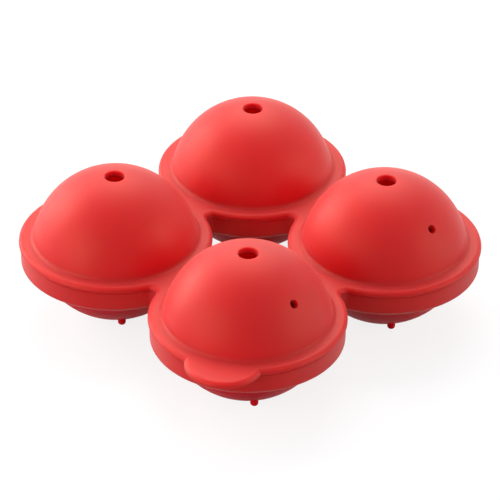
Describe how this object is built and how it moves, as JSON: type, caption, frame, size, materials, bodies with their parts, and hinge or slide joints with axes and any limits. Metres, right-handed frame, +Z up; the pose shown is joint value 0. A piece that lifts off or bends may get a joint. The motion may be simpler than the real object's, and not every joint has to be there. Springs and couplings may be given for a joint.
{
  "type": "ice ball mold",
  "caption": "Soft silicone mould for round ice balls: a domed lid with fill holes, air holes and a pull tab closes on a base of joined cups round an open window.",
  "frame": {"origin": "middle of the flat under the cup beside the pull tab, on the surface that the mould stands on", "axes": "+Z up, out of the domes; +X and +Y run from that cup to its neighbours"},
  "size_m": [0.1638, 0.1585, 0.0636],
  "materials": {
    "silicone": "matte"
  },
  "bodies": {
    "root": {"lid": "silicone", "base": "silicone"}
  },
  "joints": []
}
